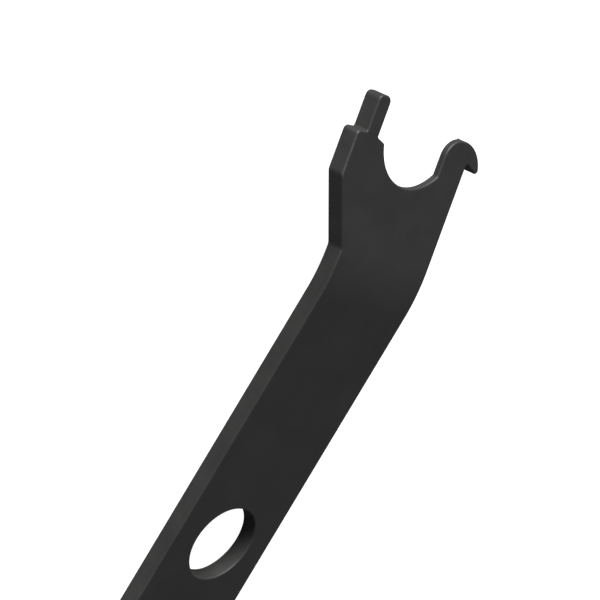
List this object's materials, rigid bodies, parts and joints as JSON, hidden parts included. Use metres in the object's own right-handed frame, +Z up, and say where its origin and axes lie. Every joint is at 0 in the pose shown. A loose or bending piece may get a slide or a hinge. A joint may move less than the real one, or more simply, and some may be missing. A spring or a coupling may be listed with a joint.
{
  "type": "lever wrench",
  "caption": "Flat bent steel lever wrench with a half-round notch between a prong and a small hook, a hang hole and a grip sleeve.",
  "frame": {"origin": "on the floor under the middle of the tool, which lies front face up, at rest on its prong, its hook and the end of the sleeve", "axes": "+X along the handle towards the head, +Z up, out of the front face; +Y towards the side of the flare and the prong"},
  "size_m": [0.2759, 0.0517, 0.0183],
  "materials": {
    "black_steel": "matte black oxide on steel plate",
    "black_vinyl": "satin moulded vinyl"
  },
  "bodies": {
    "root": {"steel_plate": "black_steel", "grip_sleeve": "black_vinyl"}
  },
  "joints": []
}
